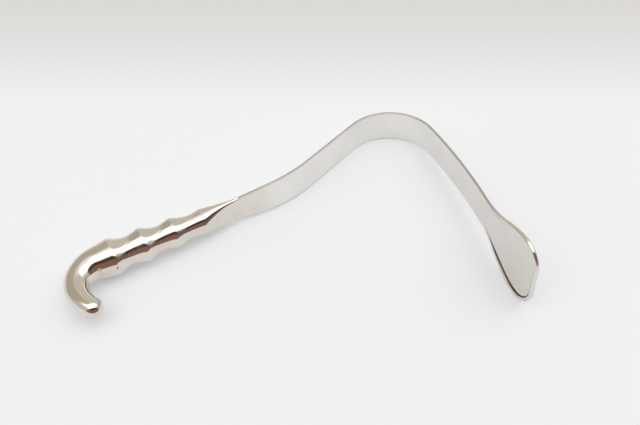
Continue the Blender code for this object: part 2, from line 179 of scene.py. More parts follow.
class Path:
    """Straight runs and arcs laid end to end in the mid-plane."""

    def __init__(self, x: float, y: float, heading: float, runs: tuple[tuple[float, float], ...]) -> None:
        """Lay the runs.

        Args:
            x: Start along the handle.
            y: Start across the bend plane.
            heading: Direction at the start, in radians.
            runs: Length and turn of each run.
        """
        self.legs: list[tuple[float, float, float, float, float]] = []
        for length, turn in runs:
            self.legs.append((length, turn, x, y, heading))
            x, y, heading = self.advance(x, y, heading, turn / length, length)
        self.length = sum(length for length, _ in runs)

    @staticmethod
    def advance(x: float, y: float, heading: float, curvature: float, distance: float) -> tuple[float, ...]:
        """Place and heading after a distance along a run of constant curvature."""
        if abs(curvature) < STRAIGHT:
            return x + distance * math.cos(heading), y + distance * math.sin(heading), heading
        turned = heading + curvature * distance
        return (
            x + (math.sin(turned) - math.sin(heading)) / curvature,
            y - (math.cos(turned) - math.cos(heading)) / curvature,
            turned,
        )

    def at(self, distance: float) -> tuple[np.ndarray, np.ndarray]:
        """Centre and left-hand normal at a distance along the path."""
        for length, turn, x, y, heading in self.legs:
            if distance <= length:
                break
            distance -= length
        else:
            distance += length
        x, y, heading = self.advance(x, y, heading, turn / length, distance)
        return np.array((x, y, 0.0)), np.array((-math.sin(heading), math.cos(heading), 0.0))


def new_object(name: str, data: ID) -> Object:
    """An object in the scene for this mesh, curve, light or camera."""
    piece = bpy.data.objects.new(name, data)
    bpy.context.scene.collection.objects.link(piece)
    return piece


def new_tree(name: str, sockets: tuple[tuple[str, str], ...]) -> NodeTree:
    """A Geometry Nodes tree with named inputs and one geometry output.

    Args:
        name: Name of the tree.
        sockets: Name and type of each input, the geometry first.

    Returns:
        The empty tree.
    """
    tree = bpy.data.node_groups.new(name, "GeometryNodeTree")
    for label, kind in sockets:
        tree.interface.new_socket(label, in_out="INPUT", socket_type=kind)
    tree.interface.new_socket("Geometry", in_out="OUTPUT", socket_type="NodeSocketGeometry")
    return tree


def finish_tree(sheet: Sheet, geometry: NodeSocket, material: NodeSocket) -> None:
    """End a tree in real geometry with its material."""
    real = sheet.add("GeometryNodeRealizeInstances", {0: geometry})
    dressed = sheet.add("GeometryNodeSetMaterial", {"Geometry": real.outputs[0], "Material": material})
    sheet.add("NodeGroupOutput", {0: dressed.outputs[0]})


def run_tree(name: str, start: Mesh, tree: NodeTree,
             values: dict[str, Any]) -> Mesh:
    """Plain mesh that a tree makes.

    Args:
        name: Name of the new mesh.
        start: Mesh that goes into the tree.
        tree: The Geometry Nodes tree.
        values: Value of each named input.

    Returns:
        The result, with nothing live on it.
    """
    carrier = new_object(name + "_carrier", start)
    modifier = carrier.modifiers.new("Shape", "NODES")
    modifier.node_group = tree
    names = {item.name: item.identifier for item in tree.interface.items_tree if item.in_out == "INPUT"}
    for label, value in values.items():
        modifier[names[label]] = value
    evaluated = carrier.evaluated_get(bpy.context.evaluated_depsgraph_get())
    mesh = bpy.data.meshes.new_from_object(evaluated)
    mesh.name = name
    carrier.modifiers.remove(modifier)
    bpy.data.objects.remove(carrier)
    return mesh


# ---------------------------------------------------------------- finishes

@dataclass(frozen=True)
class SteelFinish:
    """A stainless steel surface: its colour, polish and scratches, and any painted shade along it, in its
    groove and on its edges.
    """

    name: str
    colour: tuple[float, float, float]
    dull_colour: tuple[float, float, float]
    roughness: float
    rough_spread: float
    scratch_along: float
    scratch_across: float
    scratch_depth: float
    ripple_size: float
    ripple_depth: float
    fade: tuple[float, float, float] = (1.0, 1.0, 1.0)
    start_shade: tuple[float, float, float] = (1.0, 1.0, 1.0)
    length: float = 0.36
    painted_shade: float = 0.0

    def material(self) -> Material:
        """The finish as a node material that reads the piece's own lengthwise map."""
        material = bpy.data.materials.new(self.name)
        material.use_nodes = True
        sheet = Sheet(material.node_tree)
        shader = material.node_tree.nodes["Principled BSDF"]
        flow = sheet.add("ShaderNodeUVMap", uv_map=UV_NAME).outputs[0]
        place = sheet.add("ShaderNodeTexCoord").outputs["Object"]
        grain = self.scratches(sheet, flow)
        cloud = sheet.noise(place, CLOUD_SCALE, 4.0)
        tint = sheet.ramp(cloud, tuple(zip(CLOUD_STOPS, (self.dull_colour, self.colour))))
        # painted shade: the colour darkens near the start of the length and towards its end, for darker
        # reflections there
        if min(self.fade) < 1.0:
            along = sheet.math("MULTIPLY", sheet.split(flow)["X"], 1.0 / self.length)
            shares = (self.start_shade, 1.0, 1.0, self.fade)
            tint = sheet.vector("MULTIPLY", tint, sheet.ramp(along, tuple(zip(LENGTH_SHADE_STOPS, shares))))
        # painted shade in the groove beside the bead and on the rounded edges
        if self.painted_shade > 0.0:
            tint = self.paint_shade(sheet, tint, place)
        sheet.tree.links.new(tint, shader.inputs["Base Color"])
        haze = sheet.math("MULTIPLY_ADD", grain, self.rough_spread, self.roughness)
        smudge = sheet.math("MULTIPLY_ADD", cloud, self.rough_spread, haze)
        sheet.tree.links.new(smudge, shader.inputs["Roughness"])
        shader.inputs["Metallic"].default_value = 1.0
        ripple = sheet.noise(place, 1.0 / self.ripple_size, 1.0)
        waves = sheet.add(
            "ShaderNodeBump", {"Height": ripple, "Distance": self.ripple_depth, "Strength": 1.0})
        fine = sheet.add(
            "ShaderNodeBump",
            {"Height": grain, "Distance": self.scratch_depth, "Strength": 1.0, "Normal": waves.outputs[0]})
        sheet.tree.links.new(fine.outputs[0], shader.inputs["Normal"])
        return material

    def paint_shade(self, sheet: Sheet, tint: NodeSocket, place: NodeSocket) -> Any:
        """The colour darkened by painted shade where the mask says: in the groove beside the bead and along
        the plain strap's rounded edges, broken up by noise.
        """
        groove = sheet.add("ShaderNodeAttribute", attribute_name=SHADE_MASK_NAME).outputs["Fac"]
        mottle = sheet.noise(place, SHADE_MOTTLE_SCALE, 2.0)
        shade_amount = sheet.math("MULTIPLY", groove, sheet.math("MULTIPLY_ADD", mottle, SHADE_MOTTLE_SPREAD, SHADE_MOTTLE_FLOOR))
        share = sheet.add("ShaderNodeMapRange", {"Value": shade_amount, "To Max": self.painted_shade})
        return sheet.blend(share.outputs[0], tint, PAINTED_SHADE_COLOUR)

    def scratches(self, sheet: Sheet, flow: NodeSocket) -> NodeSocket:
        """Noise that is drawn out along the surface, from 0 to 1."""
        drawn = sheet.add(
            "ShaderNodeMapping", {"Vector": flow, "Scale": (self.scratch_along, self.scratch_across, 1.0)})
        return sheet.noise(drawn.outputs[0], 1.0, 3.0)


# the strap's finish carries painted shade: darker towards its start and its tip, in the groove beside the
# bead and on its edges
STRAP_STEEL = SteelFinish(
    "strap_steel", colour=(0.860, 0.841, 0.802), dull_colour=(0.835, 0.812, 0.768), roughness=0.15,
    rough_spread=0.06, scratch_along=60.0, scratch_across=5200.0, scratch_depth=2.0e-6, ripple_size=0.035,
    ripple_depth=1.2e-5, fade=(0.89, 0.868, 0.855), start_shade=(0.91, 0.885, 0.86), painted_shade=0.95)
HANDLE_STEEL = SteelFinish(
    "handle_polish", colour=(0.77, 0.735, 0.675), dull_colour=(0.73, 0.69, 0.63), roughness=0.07,
    rough_spread=0.05, scratch_along=90.0, scratch_across=4200.0, scratch_depth=5.0e-7, ripple_size=0.016,
    ripple_depth=5.0e-7)
SEAM_STEEL = SteelFinish(
    "seam_polish", colour=(0.76, 0.725, 0.665), dull_colour=(0.72, 0.68, 0.62), roughness=0.09,
    rough_spread=0.06, scratch_along=90.0, scratch_across=4200.0, scratch_depth=6.0e-7, ripple_size=0.016,
    ripple_depth=5.0e-7)
PLUG_STEEL = SteelFinish(
    "plug_steel", colour=(0.30, 0.27, 0.24), dull_colour=(0.20, 0.18, 0.16), roughness=0.30,
    rough_spread=0.10, scratch_along=900.0, scratch_across=900.0, scratch_depth=4.0e-6, ripple_size=0.004,
    ripple_depth=1.0e-5)


# ---------------------------------------------------------------- the instrument

@dataclass
class Grip:
    """Sizes of the handle that both the strap and the handle need, from ridge 1."""

    ridge_pitch: float = 0.0236
    half_thicknesses: tuple[float, ...] = (0.0145, 0.0134, 0.0119, 0.0092)
    half_heights: tuple[float, ...] = (0.0145, 0.0134, 0.0120, 0.0104)
    scallop_depths: tuple[float, ...] = (0.0031, 0.0030, 0.0022)
    scallop_power: float = 1.35
    neck_length: float = 0.0242
    neck_power: float = 1.6
    offset: float = 0.0007
    mouth_half_thickness: float = 0.0019
    weld_length: float = 0.0054

    @property
    def last_ridge(self) -> float:
        """Distance from ridge 1 to the last ridge."""
        return self.ridge_pitch * (len(self.half_thicknesses) - 1)

    @property
    def mouth(self) -> float:
        """Distance from ridge 1 to the mouth of the two shells."""
        return self.last_ridge + self.neck_length

    @property
    def shoulder(self) -> float:
        """Distance from ridge 1 to where the full strap begins."""
        return self.mouth + self.weld_length


@dataclass
class Strap:
    """The strap with its bends and the heart tip with its beaded rim."""

    grip: Grip
    shank_run: float = 0.0201
    first_bend: tuple[float, float] = (0.115, 21.5)
    rising_run: float = 0.0566
    crown_bend: tuple[float, float] = (0.0382, -112.7)
    blade_bend: tuple[float, float] = (0.492, -11.6)
    toe_bend: tuple[float, float] = (0.381, 9.6)
    path_step: float = 0.0005
    shank_width: float = 0.0218
    widening: float = 0.045
    crown_width: float = 0.0270
    blade_width: float = 0.0270
    thickness: float = 0.0020
    edge_radius: float = 0.0005
    tip_width: float = 0.0594
    flare_length: float = 0.0740
    lobe_length: float = 0.0183
    lobe_spacing: float = 0.0218
    notch_depth: float = 0.0004
    bead_radius: float = 0.0017
    bead_fade: float = 0.035
    bead_turn: float = 80.0
    rim_width: float = 0.0042
    start_bevel: float = 0.2
    row_step: float = 0.0012
    half_columns: int = 12
    tip_rows: int = 64
    flat_rings: int = 3
    arc_steps: int = 8
    bead_steps: int = 8
    # strength of the painted shade in the groove beside the bead, stronger on the side that lies low near the
    # table
    groove_levels: tuple[float, ...] = (1.0, 1.0, 1.0, 0.8, 0.35)
    groove_start: float = 1.6
    high_side_groove: float = 0.48
    groove_middle: tuple[float, float] = (0.004, 0.012)
    # painted shade along the plain strap's rounded edges
    edge_shade: float = 0.24
    finish: SteelFinish = STRAP_STEEL

    def path(self) -> Path:
        """Middle of the strap's thickness, from the shoulder to the end of the toe."""
        runs = (
            (self.shank_run, 0.0),
            arc(*self.first_bend),
            (self.rising_run, 0.0),
            arc(*self.crown_bend),
            arc(*self.blade_bend),
            arc(*self.toe_bend),
        )
        return Path(self.grip.shoulder, -self.grip.offset, 0.0, runs)

    def half_width(self, path: Path, distance: float) -> float:
        """Half width of the strap before the flare."""
        if distance < self.widening:
            return mix(self.crown_width, self.shank_width, (1 - distance / self.widening) ** 2) / 2
        crown = sum(leg[0] for leg in path.legs[:3]) + path.legs[3][0] / 2
        places = (crown, path.length - self.flare_length)
        return float(np.interp(distance, places, (self.crown_width / 2, self.blade_width / 2)))

    def side_outline(self) -> np.ndarray:
        """Half outline of the tip from the start of the flare to the corner of the lobe: back, across."""
        points = []
        for back in np.linspace(self.flare_length, self.lobe_length, 2 * OUTLINE_POINTS):
            t = (self.flare_length - back) / (self.flare_length - self.lobe_length)
            points.append((back, mix(self.blade_width, self.tip_width, smoothstep(t)) / 2))
        points += [self.lobe_point(a) for a in np.linspace(math.pi / 2, math.pi / 4, OUTLINE_POINTS)[1:]]
        return np.array(points)

    def end_outline(self) -> np.ndarray:
        """Half outline of the tip from the notch to the corner of the lobe: back, across."""
        reach = self.lobe_spacing / 2
        points = [(self.notch_depth * (1 + math.cos(math.pi * across / reach)) / 2, across)
                  for across in np.linspace(0.0, reach, OUTLINE_POINTS)]
        points += [self.lobe_point(a) for a in np.linspace(0.0, math.pi / 4, OUTLINE_POINTS)[1:]]
        return np.array(points)

    def lobe_point(self, angle: float) -> tuple[float, float]:
        """Point of a lobe's quarter ellipse: its end at angle 0, its widest place at a right angle."""
        reach = (self.tip_width - self.lobe_spacing) / 2
        return self.lobe_length * (1 - math.cos(angle)), self.lobe_spacing / 2 + reach * math.sin(angle)

    def rim(self, path: Path, rows: list[float]) -> tuple[np.ndarray, np.ndarray]:
        """Outline of the flat pattern as a closed loop of points: distance along the path, across.

        The loop runs along one side, over the end of the tip, back along the other side and across the start.

        Args:
            path: The strap's path.
            rows: Distances of the strap's rows before the flare.

        Returns:
            The points, and the outward direction at each.
        """
        side = resample(self.side_outline(), self.tip_rows + 1)
        end = resample(self.end_outline(), self.half_columns + 1)
        half = [(distance, self.half_width(path, distance)) for distance in rows]
        half += [(path.length - back, across) for back, across in side]
        over = [(path.length - back, across) for back, across in end[::-1]][1:]
        near = np.array(half + over)
        line = np.concatenate((near, near[-2::-1] * (1.0, -1.0)))
        ahead = np.gradient(line, axis=0)
        ahead /= np.hypot(*ahead.T)[:, None]
        out = np.stack((-ahead[:, 1], ahead[:, 0]), axis=1)
        shallow = np.array((-self.start_bevel, 0.0))
        out[[0, -1]] += shallow
        count = 2 * self.half_columns
        start = mix(line[-1], line[0], np.arange(1, count)[:, None] / count)
        return np.concatenate((line, start)), np.concatenate((out, np.tile(shallow, (count - 1, 1))))

    def blank(self) -> Mesh:
        """The whole strap before it is bent: X along it, Y across it, Z through its thickness."""
        path = self.path()
        flare_start = path.length - self.flare_length
        rows = list(np.linspace(0.0, flare_start, int(flare_start / self.row_step), endpoint=False))
        rim, out = self.rim(path, rows)
        row_count = len(rows) + self.tip_rows + 1
        columns = 2 * self.half_columns
        grid = self.face_grid(rim - out * self.rim_width, row_count, len(rows), columns)
        loop = loop_slots(row_count, columns)
        half = self.thickness / 2
        points: list[tuple[float, float, float]] = []
        faces: list[tuple[int, ...]] = []
        for rise in (half, -half):
            points += [(float(flat[0]), float(flat[1]), rise) for flat in grid.reshape(-1, 2)]
        per_face = row_count * (columns + 1)
        faces += grid_faces(row_count, columns, 0, False) + grid_faces(row_count, columns, per_face, True)
        shares = [smoothstep((self.flare_length - path.length + flat[0]) / self.bead_fade) for flat in rim]
        previous = loop
        shade_mask = [0.0] * len(points)
        rings = self.rim_rings()
        for number, (plain, bead) in enumerate(rings):
            base = len(points)
            on_edge = self.flat_rings <= number < self.flat_rings + 2 * self.arc_steps
            # painted shade mask: the groove beside the bead, and the plain strap's rounded edges
            shade_mask += [self.groove_share(len(rings) - 1 - number, share, flat[1])
                        + self.edge_shade * on_edge * (1.0 - share) for flat, share in zip(rim, shares)]
            for flat, way, share in zip(rim, out, shares):
                depth, rise = mix(plain, bead, share)
                place = flat - way * depth
                points.append((float(place[0]), float(place[1]), float(rise)))
            ring = list(range(base, base + len(loop)))
            faces += band(previous, ring)
            previous = ring
        faces += band(previous, [slot + per_face for slot in loop])
        mesh = bpy.data.meshes.new("strap_blank")
        mesh.from_pydata(points, [], faces)
        mesh.validate()
        mesh.attributes.new(SHADE_MASK_NAME, "FLOAT", "POINT").data.foreach_set("value", shade_mask)
        map_flat(mesh, 1)
        return mesh

    def groove_share(self, rings_out: int, share: float, across: float) -> float:
        """How much painted shade a point gets in the groove: most beside the bead, and most on the side that
        lies low, near the table.
        """
        if rings_out >= len(self.groove_levels):
            return 0.0
        start, spread = self.groove_middle
        low = smoothstep((start - across) / spread)
        onset = min(1.0, self.groove_start * share)
        return self.groove_levels[rings_out] * onset * mix(self.high_side_groove, 1.0, low)

    def rim_rings(self) -> list[tuple[np.ndarray, np.ndarray]]:
        """Depth inside the outline and height of each ring round the rim, for plain strap and bead."""
        half = self.thickness / 2
        edge, bead, wide = self.edge_radius, self.bead_radius, self.rim_width

        def rounded(radius: float, degrees: float, hand: float = 1.0) -> np.ndarray:
            """Point of a round at this many degrees from the rim towards the upper or the lower face."""
            turn = math.radians(degrees)
            rise = half - radius + radius * math.sin(turn)
            return np.array((radius - radius * math.cos(turn), hand * rise))

        rings = []
        for k in range(1, self.flat_rings + 1):
            t = k / self.flat_rings
            rings.append((np.array((mix(wide, edge, t), half)), np.array((mix(wide, bead, t), half))))
        for k in range(1, self.arc_steps + 1):
            degrees = 90 * (1 - k / self.arc_steps)
            rings.append((rounded(edge, degrees), rounded(bead, degrees)))
        for k in range(1, self.arc_steps + 1):
            lower = rounded(edge, 90 * (k - 1) / (self.arc_steps - 1), hand=-1.0)
            rings.append((lower, rounded(bead, -90 * k / self.arc_steps)))
        last = self.bead_steps + 2
        for k in range(1, self.bead_steps + 1):
            plain = np.array((mix(edge, wide, k / last), -half))
            rings.append((plain, rounded(bead, -90 - self.bead_turn * k / self.bead_steps)))
        plain = np.array((mix(edge, wide, (last - 1) / last), -half))
        rings.append((plain, np.array((2 * bead + SLIVER, -half))))
        return rings

    def face_grid(self, inner: np.ndarray, row_count: int, straight: int, columns: int) -> np.ndarray:
        """Grid inside the crease line, blended between its sides and its end.

        Args:
            inner: The crease line, a loop like the rim.
            row_count: Rows of the grid.
            straight: Rows before the flare.
            columns: Columns less one.

        Returns:
            An array of row, column and place.
        """
        near = inner[:row_count, None]
        end = inner[row_count - 1:row_count + columns]
        v = np.linspace(0.0, 1.0, columns + 1)[:, None]
        grid = mix(near, near * (1.0, -1.0), v)
        first = grid[straight].copy()
        u = np.linspace(0.0, 1.0, row_count - straight)[:, None, None]
        corners = mix(mix(first[0], first[-1], v), mix(end[0], end[-1], v), u)
        grid[straight:] += mix(first, end, u) - corners
        return grid

    @staticmethod
    def bend_tree() -> NodeTree:
        """Tree that bends a flat blank along a path: X is read as distance, Z as height off the path."""
        tree = new_tree("bend_along_path", (
            ("Geometry", "NodeSocketGeometry"),
            ("Path", "NodeSocketObject"),
            ("Material", "NodeSocketMaterial"),
        ))
        sheet = Sheet(tree)
        inputs = sheet.add("NodeGroupInput")
        flat = sheet.split(sheet.add("GeometryNodeInputPosition").outputs[0])
        path = sheet.add("GeometryNodeObjectInfo", {"Object": inputs.outputs["Path"]})
        on_path = sheet.add(
            "GeometryNodeSampleCurve",
            {"Curves": path.outputs["Geometry"], "Length": flat["X"]},
            mode="LENGTH")
        up = sheet.add("ShaderNodeCombineXYZ", {"Z": 1.0}).outputs[0]
        side = sheet.vector("NORMALIZE", sheet.vector("CROSS_PRODUCT", up, on_path.outputs["Tangent"]))
        lifted = sheet.vector("ADD", on_path.outputs["Position"], sheet.stretch(side, flat["Z"]))
        placed = sheet.vector("ADD", lifted, sheet.stretch(up, flat["Y"]))
        bent = sheet.add(
            "GeometryNodeSetPosition", {"Geometry": inputs.outputs["Geometry"], "Position": placed})
        finish_tree(sheet, bent.outputs[0], inputs.outputs["Material"])
        return tree

    def path_curve(self) -> Object:
        """The strap's path as a fine open curve."""
        path = self.path()
        count = int(path.length / self.path_step)
        curve = bpy.data.curves.new("strap_path", "CURVE")
        curve.dimensions = "3D"
        spline = curve.splines.new("POLY")
        spline.points.add(count)
        for k, point in enumerate(spline.points):
            centre, _ = path.at(path.length * k / count)
            point.co = (*centre, 1.0)
        return new_object("strap_path", curve)

    def build(self) -> Mesh:
        """The bent strap in the mid-plane."""
        curve = self.path_curve()
        mesh = run_tree(
            "retractor_blade", self.blank(), self.bend_tree(),
            {"Path": curve, "Material": self.finish.material()})
        bpy.data.objects.remove(curve)
        face_outwards(mesh)
        mesh.shade_smooth()
        return mesh


def resample(line: np.ndarray, count: int) -> np.ndarray:
    """Points at even distances along a polyline."""
    travelled = np.concatenate(([0.0], np.cumsum(np.hypot(*np.diff(line, axis=0).T))))
    places = np.linspace(0.0, travelled[-1], count)
    return np.stack([np.interp(places, travelled, line[:, axis]) for axis in (0, 1)], axis=1)


def loop_slots(row_count: int, columns: int) -> list[int]:
    """Numbers of a grid's border points, in the order of the rim and then back along the first row."""
    width = columns + 1
    near = [row * width for row in range(row_count)]
    end = [(row_count - 1) * width + column for column in range(1, width)]
    far = [row * width + columns for row in range(row_count - 2, -1, -1)]
    start = [column for column in range(columns - 1, 0, -1)]
    return near + end + far + start


def grid_faces(row_count: int, columns: int, base: int, flip: bool) -> list[tuple[int, ...]]:
    """Quads of a grid of points."""
    width = columns + 1
    faces = []
    for row in range(row_count - 1):
        for column in range(columns):
            a = base + row * width + column
            quad = (a, a + 1, a + width + 1, a + width)
            faces.append(quad[::-1] if flip else quad)
    return faces


def band(ring: list[int], following: list[int]) -> list[tuple[int, ...]]:
    """Quads between two closed rings of point numbers."""
    count = len(ring)
    return [(ring[k], ring[(k + 1) % count], following[(k + 1) % count], following[k]) for k in range(count)]


def map_flat(mesh: Mesh, second: int) -> None:
    """Give a mesh the lengthwise map, from its own X and one more axis."""
    layer = mesh.uv_layers.new(name=UV_NAME)
    for corner in mesh.loops:
        place = mesh.vertices[corner.vertex_index].co
        layer.data[corner.index].uv = (place.x, place[second])


def face_outwards(mesh: Mesh) -> None:
    """Make every face of a closed mesh point out."""
    work = bmesh.new()
    work.from_mesh(mesh)
    bmesh.ops.recalc_face_normals(work, faces=work.faces)
    if work.calc_volume(signed=True) < 0:
        bmesh.ops.reverse_faces(work, faces=work.faces)
    work.to_mesh(mesh)
    work.free()


@dataclass
class Handle:
    """The hollow handle: two pressed shells, their weld, the weld at the mouth and the vent plug."""

    grip: Grip
    strap: Strap
    hook_run: float = 0.0113
    hook_bend: tuple[float, float] = (0.020, 91.0)
    hook_end_bend: tuple[float, float] = (0.0323, 46.95)
    hook_end_half: float = 0.0072
    hook_taper_power: float = 1.75
    sheet: float = 0.0011
    seam_width: float = 0.0008
    weld_overrun: float = 0.0026
    weld_rings: int = 12
    weld_crease: float = 50.0
    section_points: int = 96
    ring_step: float = 0.0006
    nose_rings: int = 12
    vent_radius: float = 0.0007
    vent_height: float = 0.0024
    vent_sides: int = 24
    vent_profile: tuple[tuple[float, float], ...] = ((0.5, 3e-5), (0.85, 1e-5), (1.0, -4e-5), (1.0, -1.5e-3))
    vent_dome: float = 4e-5
    finish: SteelFinish = HANDLE_STEEL
    weld_finish: SteelFinish = SEAM_STEEL
    plug_finish: SteelFinish = PLUG_STEEL

    def path(self) -> Path:
        """Centre of the handle, from its mouth to the end of the hook."""
        runs = (
            (self.grip.mouth + self.hook_run, 0.0),
            arc(*self.hook_bend),
            arc(*self.hook_end_bend),
        )
        return Path(self.grip.mouth, 0.0, math.pi, runs)

    def section(self, x: float) -> tuple[float, float, float, float]:
        """Section at a distance from ridge 1.

        Args:
            x: Distance from ridge 1 along the handle's centre, below zero on the hook.

        Returns:
            Half thickness and half height before the scallop, the scallop's depth and the place in it.
        """
        grip = self.grip
        if x >= grip.last_ridge:
            t = min((x - grip.last_ridge) / grip.neck_length, 1.0)
            thickness = mix(grip.mouth_half_thickness, grip.half_thicknesses[-1], (1 - t) ** grip.neck_power)
            return thickness, mix(grip.half_heights[-1], self.strap.shank_width / 2, smoothstep(t)), 0.0, 0.0
        if x > 0:
            ridge = min(int(x / grip.ridge_pitch), len(grip.scallop_depths) - 1)
            t = x / grip.ridge_pitch - ridge
            thickness = mix(grip.half_thicknesses[ridge], grip.half_thicknesses[ridge + 1], t)
            height = mix(grip.half_heights[ridge], grip.half_heights[ridge + 1], t)
            return thickness, height, grip.scallop_depths[ridge], t
        fade = max(1 + x / (self.path().length - grip.mouth), 0.0) ** self.hook_taper_power
        thickness = mix(self.hook_end_half, grip.half_thicknesses[0], fade)
        height = mix(self.hook_end_half, grip.half_heights[0], fade)
        return thickness, height, 0.0, 0.0

    def spine(self) -> Mesh:
        """One point for each ring of the handle, with its section in attributes."""
        path = self.path()
        nose = path.length - self.hook_end_half
        stations = [(d, 1.0) for d in np.linspace(0.0, nose, int(nose / self.ring_step), endpoint=False)]
        for angle in np.linspace(0.0, math.pi / 2, self.nose_rings):
            stations.append((nose + self.hook_end_half * math.sin(angle), max(math.cos(angle), NOSE_END)))
        rows = []
        for distance, shrink in stations:
            centre, side = path.at(distance)
            thickness, height, scallop, phase = self.section(self.grip.mouth - distance)
            centre[1] -= self.grip.offset * smoothstep(1 - distance / self.grip.neck_length)
            hook = smoothstep((distance - self.grip.mouth) / self.hook_run)
            rows.append((centre, side, thickness * shrink, height * shrink, scallop, phase, hook))
        return spine_mesh("handle_spine", rows)

    def weld_spine(self) -> Mesh:
        """One point for each ring of the mouth weld, which runs out flush on the strap."""
        start = self.grip.mouth
        end = self.grip.shoulder + self.weld_overrun
        rows = []
        side = np.array((0.0, -1.0, 0.0))
        thin = self.strap.thickness / 2 - SLIVER
        for x in np.linspace(start, end, self.weld_rings):
            t = (x - start) / (end - start)
            thickness = mix(self.grip.mouth_half_thickness, thin, math.sin(math.pi / 2 * t))
            centre = np.array((x, -self.grip.offset, 0.0))
            half_height = self.strap.half_width(self.strap.path(), max(x - self.grip.shoulder, 0.0))
            rows.append((centre, side, thickness, half_height - SLIVER * t, 0.0, 0.0, 0.0))
        return spine_mesh("mouth_weld_spine", rows)

    @staticmethod
    def sweep_tree() -> NodeTree:
        """Tree that sweeps a rounded section along a spine and presses the finger scallops into it."""
        tree = new_tree("ridged_sweep", (
            ("Spine", "NodeSocketGeometry"),
            ("Rings", "NodeSocketInt"),
            ("Section Points", "NodeSocketInt"),
            ("Scallop Power", "NodeSocketFloat"),
            ("Length", "NodeSocketFloat"),
            ("Girth", "NodeSocketFloat"),
            ("Material", "NodeSocketMaterial"),
        ))
        sheet = Sheet(tree)
        given = sheet.add("NodeGroupInput").outputs
        seam_points = sheet.math("ADD", given["Section Points"], 1.0)
        grid = sheet.add(
            "GeometryNodeMeshGrid", {"Vertices X": given["Rings"], "Vertices Y": seam_points})
        index = sheet.add("GeometryNodeInputIndex").outputs[0]
        ring = sheet.math("FLOOR", sheet.math("DIVIDE", sheet.math("ADD", index, 0.5), seam_points))
        around = sheet.math("SUBTRACT", index, sheet.math("MULTIPLY", ring, seam_points))

        def read(name: str, kind: str) -> NodeSocket:
            """Attribute of the spine's point that belongs to this ring."""
            source = sheet.add("GeometryNodeInputNamedAttribute", {"Name": name}, data_type=kind)
            picked = {"Geometry": given["Spine"], "Value": source.outputs["Attribute"], "Index": ring}
            sample = sheet.add("GeometryNodeSampleIndex", picked, data_type=kind, domain="POINT")
            return sample.outputs["Value"]

        def store(geometry: NodeSocket, name: str, value: NodeSocket,
                  kind: str, domain: str = "POINT") -> NodeSocket:
            """The geometry with a value stored on it."""
            return sheet.add(
                "GeometryNodeStoreNamedAttribute", {"Geometry": geometry, "Name": name, "Value": value},
                data_type=kind, domain=domain).outputs[0]

        centre, side = read("centre", "FLOAT_VECTOR"), read("side", "FLOAT_VECTOR")
        phase = sheet.math("MULTIPLY", read("phase", "FLOAT"), math.pi)
        wave = sheet.math("POWER", sheet.math("ABSOLUTE", sheet.math("SINE", phase)), given["Scallop Power"])
        dip = sheet.math("MULTIPLY", read("scallop", "FLOAT"), wave)
        thickness = sheet.math("SUBTRACT", read("thickness", "FLOAT"), dip)
        height = sheet.math("SUBTRACT", read("height", "FLOAT"), dip)
        corner = sheet.math("MINIMUM", thickness, height)
        turn = sheet.math("MULTIPLY", sheet.math("DIVIDE", around, given["Section Points"]), 2 * math.pi)

        def reach(wave_kind: str, half_size: NodeSocket) -> tuple[Any, Any]:
            """Round part plus flat part of the section in one direction, and the section's direction."""
            swing = sheet.math(wave_kind, turn)
            hand = sheet.math("SIGN", sheet.math("ROUND", sheet.math("MULTIPLY", swing, 1000.0)))
            flat = sheet.math("MULTIPLY", hand, sheet.math("SUBTRACT", half_size, corner))
            return sheet.math("MULTIPLY_ADD", swing, corner, flat), swing

        across, across_way = reach("COSINE", thickness)
        up, up_way = reach("SINE", height)
        z = sheet.add("ShaderNodeCombineXYZ", {"Z": 1.0}).outputs[0]
        radial = sheet.vector("ADD", sheet.stretch(side, across_way), sheet.stretch(z, up_way))
        place = sheet.vector(
            "ADD", centre, sheet.vector("ADD", sheet.stretch(side, across), sheet.stretch(z, up)))
        size = sheet.add("ShaderNodeCombineXYZ", {"X": given["Length"], "Y": given["Girth"]}).outputs[0]
        mapping = sheet.vector("MULTIPLY", grid.outputs["UV Map"], size)
        mapped = store(grid.outputs["Mesh"], UV_NAME, mapping, "FLOAT2", "CORNER")
        marked = store(mapped, "radial", radial, "FLOAT_VECTOR")
        hooked = store(marked, "hook", read("hook", "FLOAT"), "FLOAT")
        shaped = sheet.add("GeometryNodeSetPosition", {"Geometry": hooked, "Position": place})
        closed = sheet.add(
            "GeometryNodeMergeByDistance", {"Geometry": shaped.outputs[0], "Distance": MERGE_DISTANCE})
        finish_tree(sheet, closed.outputs[0], given["Material"])
        return tree

    def sweep(self, name: str, spine: Mesh, length: float,
              finish: Material) -> Mesh:
        """Skin along a spine.

        Args:
            name: Name of the new mesh.
            spine: The ring centres.
            length: Length of the spine, for the lengthwise map.
            finish: The material.

        Returns:
            The open skin.
        """
        return run_tree(name, spine, self.sweep_tree(), {
            "Rings": len(spine.vertices),
            "Section Points": self.section_points,
            "Scallop Power": self.grip.scallop_power,
            "Length": length,
            "Girth": 2 * math.pi * self.grip.half_thicknesses[1],
            "Material": finish,
        })

